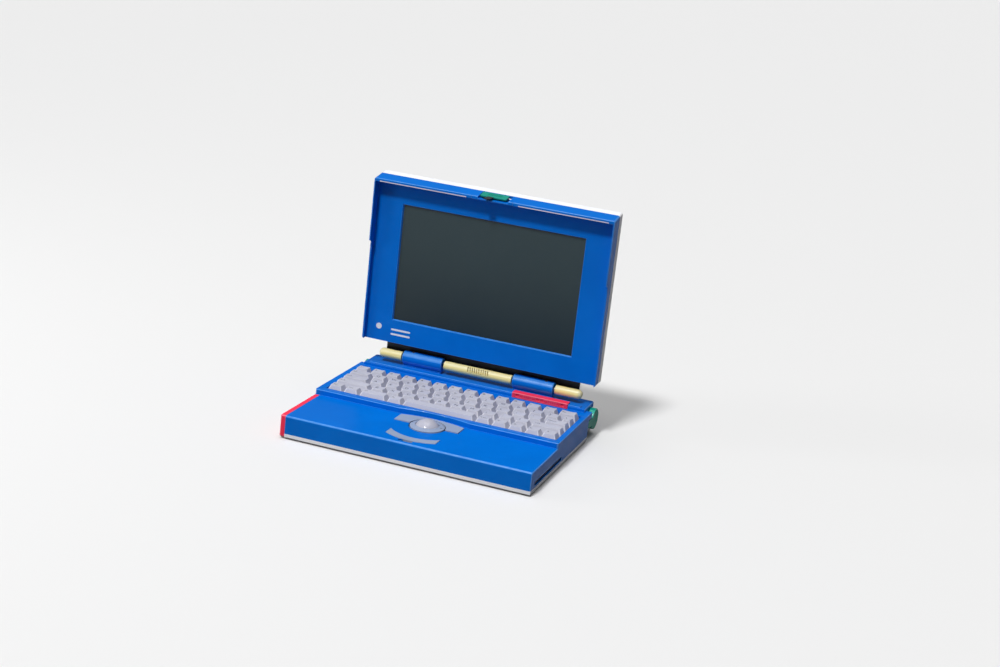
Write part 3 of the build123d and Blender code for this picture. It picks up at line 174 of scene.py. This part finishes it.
class Finish:
    """A material under construction, with one Principled shader."""

    def __init__(self, name):
        self.material = bpy.data.materials.new(name)
        self.material.use_nodes = True
        self.tree = self.material.node_tree
        self.tree.nodes.clear()
        self.shader = self.node("ShaderNodeBsdfPrincipled")
        self.node("ShaderNodeOutputMaterial", {}, {"Surface": self.shader.outputs[0]})
        self.place = self.node("ShaderNodeTexCoord").outputs["Object"]

    def node(self, kind, settings=None, sockets=None):
        """Adds a node: its settings come first, then a value or a link for each socket."""
        node = self.tree.nodes.new(kind)
        for name, value in (settings or {}).items():
            setattr(node, name, value)
        for name, value in (sockets or {}).items():
            self.feed(node.inputs[name], value)
        return node

    def feed(self, socket, value):
        if isinstance(value, Amount):
            value = value.socket
        if isinstance(value, bpy.types.NodeSocket):
            self.tree.links.new(value, socket)
        else:
            socket.default_value = value

    def set(self, **sockets):
        """Gives the shader's sockets their values, with spaces written as underscores."""
        for name, value in sockets.items():
            self.feed(self.shader.inputs[name.replace("_", " ")], value)

    def noise(self, size, detail=2.0, place=None):
        """Cloudy variation from 0 to 1, with patches about as large as size."""
        node = self.node(
            "ShaderNodeTexNoise",
            {},
            {"Vector": place or self.place, "Scale": 1 / size, "Detail": detail},
        )
        return Amount(self, node.outputs["Fac"])

    def pebbles(self, size):
        """Rounded grains side by side, each about as wide as size."""
        node = self.node(
            "ShaderNodeTexVoronoi",
            {"feature": "SMOOTH_F1"},
            {"Vector": self.place, "Scale": 1 / size, "Smoothness": 0.6},
        )
        return Amount(self, node.outputs["Distance"])

    def along(self, axis):
        """The coordinate along X, Y or Z, in metres."""
        node = self.node("ShaderNodeSeparateXYZ", {}, {0: self.place})
        return Amount(self, node.outputs[axis])

    def edges(self, radius, turn):
        """1 on sharp edges and on roundings, and 0 on flats about square to one of the piece's axes."""
        bent = self.node("ShaderNodeBevel", {"samples": bevel_samples}, {"Radius": radius})
        flat = self.node("ShaderNodeNewGeometry")
        both = self.node(
            "ShaderNodeVectorMath",
            {"operation": "DOT_PRODUCT"},
            {0: bent.outputs[0], 1: flat.outputs["Normal"]},
        )
        sharp = (1 - Amount(self, both.outputs["Value"])).above(0.02, 0.25)
        facing = self.node("ShaderNodeTexCoord").outputs["Normal"]
        squares = self.node("ShaderNodeVectorMath", {"operation": "MULTIPLY"}, {0: facing, 1: facing})
        fourths = self.node(
            "ShaderNodeVectorMath",
            {"operation": "DOT_PRODUCT"},
            {0: squares.outputs[0], 1: squares.outputs[0]},
        )
        rounded = (1 - Amount(self, fourths.outputs["Value"])).above(turn, turn + 0.2)
        return sharp.maths("MAXIMUM", sharp, rounded)

    def mixed(self, share, under, over):
        """Colour under where share is 0, and colour over where it is 1."""
        node = self.node("ShaderNodeMix", {"data_type": "RGBA"}, {0: share, 6: under, 7: over})
        return node.outputs[2]

    def bumped(self, height, depth, softened=None):
        """Relief of the given depth. The edges are softened first where a radius is given."""
        sockets = {"Height": height, "Distance": depth}
        if softened:
            bent = self.node("ShaderNodeBevel", {"samples": bevel_samples}, {"Radius": softened})
            sockets["Normal"] = bent.outputs[0]
        self.set(Normal=self.node("ShaderNodeBump", {}, sockets).outputs[0])


def moulded(
    name, colour, shaded, rubbed_and_highlight,
    roughness=0.3, grain=0.55, depth=0.01, wear_and_highlight_share=0.5, gloss=0.14, turn=0.14,
):
    """Spark-textured moulded plastic: fine pebbles, slow tone changes, and glossy edges painted pale, partly
    as rubbed wear and partly as painted highlight.
    """
    finish = Finish(name)
    tone = finish.noise(tone_patch, 3.0).above(0.3, 0.75)
    handled = finish.noise(handled_spot, 5.0)
    edge = finish.edges(edge_width, turn)
    body = finish.mixed(tone, shaded, colour)
    # Edges and roundings painted paler: partly rubbed wear, partly a painted highlight.
    edge_wear_and_highlight = edge * (handled.above(0.2, 0.7) * 0.4 + 0.6)
    finish.set(
        Base_Color=finish.mixed(edge_wear_and_highlight * wear_and_highlight_share, body, rubbed_and_highlight),
        Roughness=handled * 0.12 + (roughness + 0.1),
        Specular_IOR_Level=base_gloss,
        Coat_Weight=edge_wear_and_highlight * (coat_on_edges - gloss) + gloss,
        Coat_Roughness=roughness - 0.06,
    )
    relief = finish.pebbles(grain * MM) + finish.noise(0.3 * grain * MM, 2.0) * 0.5
    finish.bumped(relief, depth * MM, softened_edge)
    return finish.material


# The third colour given to each moulded plastic is its paler edge colour: rubbed wear and painted highlight.
def blue_case():
    return moulded("blue_plastic", srgb(0, 114, 216), srgb(0, 109, 209), srgb(105, 178, 248), roughness=0.26)


def white_case():
    return moulded("white_plastic", srgb(251, 252, 255), srgb(244, 246, 255), srgb(255, 255, 255))


def red_case():
    return moulded("red_plastic", srgb(255, 66, 98), srgb(250, 56, 88), srgb(255, 160, 182))


def green_trim():
    return moulded("green_plastic", srgb(10, 158, 140), srgb(8, 150, 130), srgb(90, 215, 190))


def latch_finish():
    """The green of the feet on the latch's plate, and near-black painted shade on its hook's arm in front of
    the plate.
    """
    plate_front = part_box("latch_slide")[1].y - latch_plate
    finish = Finish("latch_plastic")
    green_plate_share = finish.along("Y").above(plate_front - 0.1 * MM, plate_front + 0.1 * MM)
    tone = finish.noise(6 * MM, 3.0)
    green = finish.mixed(tone, srgb(10, 158, 140), srgb(8, 148, 128))
    finish.set(
        # Near-black in front of the plate is painted shade under the latch.
        Base_Color=finish.mixed(green_plate_share, srgb(22, 24, 28), green),
        Roughness=tone * 0.1 + 0.28,
        Specular_IOR_Level=0.25,
    )
    finish.bumped(finish.pebbles(0.4 * MM), 0.01 * MM, softened_edge)
    return finish.material


def ball_finish():
    """Polished phenolic of the trackball, with faint scuffs."""
    finish = Finish("ball_plastic")
    scuff = finish.noise(1.2 * MM, 6.0)
    cloud = finish.noise(9 * MM, 2.0)
    finish.set(
        Base_Color=finish.mixed(cloud, srgb(180, 180, 194), srgb(192, 192, 204)),
        Roughness=scuff * 0.12 + 0.14,
        Specular_IOR_Level=0.4,
    )
    finish.bumped(scuff, 0.004 * MM)
    return finish.material


def legend_ink():
    """Dark print on the key tops, a little worn."""
    finish = Finish("legend_ink")
    worn = finish.noise(1.5 * MM, 4.0).above(0.3, 0.8)
    finish.set(
        Base_Color=finish.mixed(worn, srgb(24, 26, 32), srgb(52, 54, 64)),
        Roughness=worn * 0.2 + 0.4,
        Specular_IOR_Level=0.2,
    )
    return finish.material


def mark_ink():
    """White print on the display's frame."""
    finish = Finish("mark_ink")
    worn = finish.noise(1.0 * MM, 4.0).above(0.3, 0.8)
    finish.set(
        Base_Color=finish.mixed(worn, srgb(236, 238, 244), srgb(214, 218, 228)),
        Roughness=worn * 0.2 + 0.35,
    )
    return finish.material


def yellow_roll():
    return moulded("yellow_plastic", srgb(255, 242, 170), srgb(255, 236, 156), srgb(255, 250, 210))


def grey_key():
    return moulded(
        "key_plastic", srgb(196, 197, 210), srgb(188, 189, 203), srgb(232, 232, 240),
        grain=0.4, wear_and_highlight_share=0.8, gloss=0.25, turn=0.28,
    )


# Grey buttons; their blue tint is partly a painted reflection of the blue case around them.
def grey_trim():
    return moulded(
        "button_plastic", srgb(152, 166, 192), srgb(144, 158, 186), srgb(196, 204, 222),
        roughness=0.34, grain=0.4, wear_and_highlight_share=0.4,
    )


def dark_plastic():
    return moulded("dark_plastic", srgb(38, 40, 46), srgb(30, 32, 38), srgb(80, 84, 92))


# Strips under the front of the lid's top rim, coloured pale as a painted highlight along the rim's lower
# front edge.
def pale_strip():
    return moulded(
        "pale_strip", srgb(238, 232, 246), srgb(228, 222, 238), srgb(250, 246, 255), roughness=0.35,
    )


def foot_rubber():
    return moulded(
        "foot_rubber", srgb(44, 44, 46), srgb(34, 34, 36), srgb(90, 90, 92),
        roughness=0.8, grain=0.8, depth=0.04, gloss=0.25,
    )


def plated(name, colour, roughness, brushed):
    """Metal with fine scratches and dull patches."""
    finish = Finish(name)
    stretched = finish.node("ShaderNodeMapping", {}, {"Vector": finish.place, "Scale": brushed})
    scratch = finish.noise(0.5 * MM, 4.0, stretched.outputs[0])
    dull = finish.noise(12 * MM, 4.0).above(0.35, 0.75)
    dark = tuple(0.8 * part for part in colour[:3]) + (1.0,)
    finish.set(
        Base_Color=finish.mixed(dull, dark, colour),
        Metallic=1.0,
        Roughness=scratch * 0.2 + dull * 0.1 + (roughness - 0.15),
    )
    finish.bumped(scratch, 0.01 * MM, 0.2 * MM)
    return finish.material


def steel():
    return plated("plated_steel", srgb(190, 190, 196), 0.35, (1.0, 1.0, 1.0))


# Near-black steel.
def dark_metal():
    return plated("dark_steel", srgb(62, 64, 70), 0.45, (0.15, 1.0, 1.0))


def aluminium():
    return plated("brushed_aluminium", srgb(206, 208, 212), 0.38, (0.08, 1.0, 1.0))


def glass():
    """Display glass under its matt film, unlit."""
    finish = Finish("display_glass")
    low, high = (corner.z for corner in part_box("lcd_panel"))
    # The glass is painted lighter towards the top as painted light, varied by a random cloud.
    rise = (finish.along("Z") - low) * (1 / (high - low))
    cloud = finish.noise(60 * MM, 2.0) * 0.16
    painted_light_gradient = finish.mixed((rise + cloud).above(0.0, 1.1), srgb(16, 36, 42), srgb(48, 65, 69))
    film = finish.noise(0.5 * MM, 3.0)
    finish.set(Base_Color=painted_light_gradient, Roughness=film * 0.12 + 0.3, Specular_IOR_Level=0.35)
    finish.bumped(film, 0.01 * MM)
    return finish.material


def light_guide():
    return moulded("light_guide", srgb(236, 240, 240), srgb(226, 232, 232), srgb(250, 252, 252))


def board():
    """Green circuit board with copper runs under its lacquer."""
    finish = Finish("circuit_board")
    cells = finish.node(
        "ShaderNodeTexVoronoi",
        {"distance": "MANHATTAN", "feature": "F1"},
        {"Vector": finish.place, "Scale": board_cells_per_metre},
    )
    run = Amount(finish, cells.outputs["Distance"]).above(0.42, 0.5)
    lacquer = finish.noise(6 * MM, 3.0)
    finish.set(
        Base_Color=finish.mixed(run, srgb(18, 84, 52), srgb(58, 120, 70)),
        Roughness=lacquer * 0.15 + 0.3,
    )
    finish.bumped(run, 0.03 * MM, 0.2 * MM)
    return finish.material


# Nodes whose finish isn't the one of their slot
node_finishes = {"trackball": ball_finish, "latch_slide": latch_finish}

finish_makers = {
    "blue_case": blue_case,
    "white_case": white_case,
    "red_case": red_case,
    "green_trim": green_trim,
    "yellow_roll": yellow_roll,
    "grey_key": grey_key,
    "grey_trim": grey_trim,
    "dark_plastic": dark_plastic,
    "pale_strip": pale_strip,
    "foot_rubber": foot_rubber,
    "dark_metal": dark_metal,
    "steel": steel,
    "aluminium": aluminium,
    "glass": glass,
    "light_guide": light_guide,
    "board": board,
}


def dress_nodes():
    """Gives every node the finish that its material slot asks for."""
    finishes = {slot: make() for slot, make in finish_makers.items()}
    for part in frame["record"]["subparts"]:
        name = part["node"]
        finish = node_finishes[name]() if name in node_finishes else finishes[part["material_slot"]]
        for place in nodes[name].material_slots:
            place.material = finish


def body_of(node):
    """The body that a node belongs to."""
    bodies = frame["record"]["behaviour"]["bodies"]
    return next(body for body, members in bodies.items() if node in members)


def add_piece(name, mesh, material, body):
    """Puts a finished mesh in the scene as a piece that rides on a body."""
    mesh.materials.clear()
    mesh.materials.append(material)
    piece = bpy.data.objects.new(name, mesh)
    bpy.context.scene.collection.objects.link(piece)
    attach(piece, body)


def whole_surface(node):
    """A node's surface in one piece, for finding its parts and the places on it."""
    surface = bmesh.new()
    surface.from_mesh(nodes[node].data)
    bmesh.ops.remove_doubles(surface, verts=surface.verts, dist=merge_distance)
    return surface


def separate_parts(surface):
    """The outer corners (low, high) of each unconnected part of a surface, from left to right."""
    left = set(surface.verts)
    parts = []
    while left:
        open_ends = [left.pop()]
        members = []
        while open_ends:
            vert = open_ends.pop()
            members.append(vert.co)
            for edge in vert.link_edges:
                other = edge.other_vert(vert)
                if other in left:
                    left.remove(other)
                    open_ends.append(other)
        low = Vector(min(place[axis] for place in members) for axis in range(3))
        high = Vector(max(place[axis] for place in members) for axis in range(3))
        parts.append((low, high))
    return sorted(parts, key=lambda corners: corners[0].x)


def letters(text, size):
    """A text as a thin mesh, with the start of its base line at the origin."""
    curve = bpy.data.curves.new("text", "FONT")
    curve.body = text
    curve.size = size
    curve.resolution_u = letter_smoothness
    curve.extrude = legend_lift
    drawn = bpy.data.objects.new("text", curve)
    bpy.context.scene.collection.objects.link(drawn)
    seen = drawn.evaluated_get(bpy.context.evaluated_depsgraph_get())
    flat = bpy.data.meshes.new_from_object(seen)
    bpy.data.objects.remove(drawn)
    return flat


def key_legends():
    """Letters and words printed on the key tops, one piece for each node of keys."""
    ink = legend_ink()
    for node, texts in legend_rows.items():
        surface = whole_surface(node)
        tops = BVHTree.FromBMesh(surface)
        printed = bmesh.new()
        for (low, high), text in zip(separate_parts(surface), texts):
            flat = letters(text, letter_size if len(text) == 1 else word_size)
            start = Vector((low.x + legend_margin, (low.y + high.y) / 2 - legend_drop, 0.0))
            first = len(printed.verts)
            printed.from_mesh(flat)
            printed.verts.ensure_lookup_table()
            for vert in printed.verts[first:]:
                above = Vector((vert.co.x + start.x, vert.co.y + start.y, high.z + MM))
                hit = tops.ray_cast(above, Vector((0, 0, -1)))[0]
                vert.co = Vector((above.x, above.y, (hit or high).z + vert.co.z))
            bpy.data.meshes.remove(flat)
        mesh = bpy.data.meshes.new("legends_" + node)
        printed.to_mesh(mesh)
        add_piece("legends_" + node, mesh, ink, body_of(node))
        printed.free()
        surface.free()


def raised_pad(outline, y_face):
    """A thin pad with a soft rim on the display's frame, from its outline of (x, z) points."""
    pad = bmesh.new()
    middle = Vector((sum(x for x, z in outline), 0, sum(z for x, z in outline))) / len(outline)
    rings = []
    for share, height in pad_rings:
        ring = []
        for x, z in outline:
            place = middle + (Vector((x, 0, z)) - middle) * share
            ring.append(pad.verts.new((place.x, y_face - height * mark_height, place.z)))
        rings.append(ring)
    for lower, upper in zip(rings, rings[1:]):
        for n in range(len(outline)):
            after = (n + 1) % len(outline)
            pad.faces.new((lower[n], lower[after], upper[after], upper[n]))
    pad.faces.new(rings[-1])
    bmesh.ops.recalc_face_normals(pad, faces=pad.faces)
    return pad


def frame_marks():
    """A plain dot and two plain lines at the lower left of the display's frame."""
    ink = mark_ink()
    face = bezel_front()
    outlines = [[
        (dot_place.x + dot_radius * math.cos(turn), dot_place.z + dot_radius * math.sin(turn))
        for turn in (n * math.tau / dot_corners for n in range(dot_corners))
    ]]
    half_width = line_width / 2
    for x, z, length in mark_lines:
        left = x * MM
        right = (x + length) * MM
        level = z * MM
        outline = []
        for end, side in ((right, -1), (left, 1)):
            for n in range(line_end_steps + 1):
                turn = math.radians(side * 90 + n * 180 / line_end_steps)
                outline.append((end + half_width * math.cos(turn), level + half_width * math.sin(turn)))
        outlines.append(outline)
    for number, outline in enumerate(outlines):
        pad = raised_pad(outline, face)
        mesh = bpy.data.meshes.new("frame_mark")
        pad.to_mesh(mesh)
        pad.free()
        add_piece(f"frame_mark_{number + 1}", mesh, ink, "lid")


def bezel_front():
    """Y of the display frame's flat face, found by looking at it from the front."""
    surface = whole_surface("lid_bezel")
    hit = BVHTree.FromBMesh(surface).ray_cast(dot_place + Vector((0, -1, 0)), Vector((0, 1, 0)))[0]
    surface.free()
    return hit.y


def camera():
    """The photograph's viewpoint, from its turn about Z, its tilt down and its roll."""
    turn, tilt, roll = (math.radians(x) for x in (camera_turn, camera_tilt, camera_roll))
    ahead = Vector((-math.sin(turn) * math.cos(tilt), math.cos(turn) * math.cos(tilt), -math.sin(tilt)))
    level = Vector((math.cos(turn), math.sin(turn), 0.0))
    over = level.cross(ahead)
    right = level * math.cos(roll) + over * math.sin(roll)
    up = over * math.cos(roll) - level * math.sin(roll)
    lens = bpy.data.cameras.new("camera")
    lens.lens = camera_lens
    lens.sensor_width = film_width
    lens.clip_end = 4 * floor_half
    eye = bpy.data.objects.new("camera", lens)
    eye.matrix_world = Matrix.Translation(camera_place) @ Matrix((right, up, -ahead)).transposed().to_4x4()
    bpy.context.scene.collection.objects.link(eye)
    bpy.context.scene.camera = eye


def seen_directly(tree):
    """1 for rays from the camera, a mirror or glass, and 0 for light that is passed on."""
    path = tree.nodes.new("ShaderNodeLightPath")
    total = path.outputs["Is Camera Ray"]
    for name in ("Is Glossy Ray", "Is Transmission Ray"):
        most = tree.nodes.new("ShaderNodeMath")
        most.operation = "MAXIMUM"
        tree.links.new(total, most.inputs[0])
        tree.links.new(path.outputs[name], most.inputs[1])
        total = most.outputs[0]
    return total


def far_lamp(name, direction, strength, softness):
    """A lamp that lights the whole floor alike from a direction, and looks softness degrees wide."""
    lamp = bpy.data.lights.new(name, "SUN")
    lamp.energy = strength
    lamp.angle = math.radians(softness)
    source = bpy.data.objects.new(name, lamp)
    source.matrix_world = direction.to_track_quat("Z", "Y").to_matrix().to_4x4()
    bpy.context.scene.collection.objects.link(source)


def softbox(name, place, size, power):
    """An area lamp that looks at the middle of the keyboard."""
    lamp = bpy.data.lights.new(name, "AREA")
    lamp.shape = "RECTANGLE"
    lamp.size = size[0]
    lamp.size_y = size[1]
    lamp.energy = power
    box = bpy.data.objects.new(name, lamp)
    facing = (place - lamp_aim).to_track_quat("Z", "Y").to_matrix().to_4x4()
    box.matrix_world = Matrix.Translation(place) @ facing
    bpy.context.scene.collection.objects.link(box)


def studio():
    """Lamps above the front and overhead, a soft box at the left, a dim room and a pale floor."""
    far_lamp("key_lamp", key_direction, key_strength, key_softness)
    far_lamp("overhead_lamp", overhead_direction, overhead_strength, overhead_softness)
    softbox("side_lamp", side_place, side_size, side_power)

    world = bpy.data.worlds.new("room")
    world.use_nodes = True
    bpy.context.scene.world = world
    sky = world.node_tree.nodes["Background"]
    lift = world.node_tree.nodes.new("ShaderNodeMapRange")
    world.node_tree.links.new(seen_directly(world.node_tree), lift.inputs["Value"])
    lift.inputs["To Min"].default_value = room_light
    lift.inputs["To Max"].default_value = room_seen
    world.node_tree.links.new(lift.outputs["Result"], sky.inputs["Strength"])
    sky.inputs["Color"].default_value = grey(1.0)

    ground = Finish("pale_floor")
    seen = Amount(ground, seen_directly(ground.tree))
    speck = ground.noise(floor_speck, 3.0)
    pale = ground.mixed(speck, grey(floor_pale), grey(floor_pale - floor_speckled))
    ground.set(
        Base_Color=ground.mixed(seen, grey(floor_dim), pale),
        Roughness=0.9,
        Specular_IOR_Level=0.1,
    )
    mesh = bpy.data.meshes.new("floor")
    corners = [(x * floor_half, y * floor_half, 0.0) for x, y in ((-1, -1), (1, -1), (1, 1), (-1, 1))]
    mesh.from_pydata(corners, [], [(0, 1, 2, 3)])
    mesh.materials.append(ground.material)
    floor = bpy.data.objects.new("floor", mesh)
    bpy.context.scene.collection.objects.link(floor)
    bpy.context.scene.view_settings.view_transform = "Standard"


camera()
studio()
dress_nodes()
key_legends()
frame_marks()
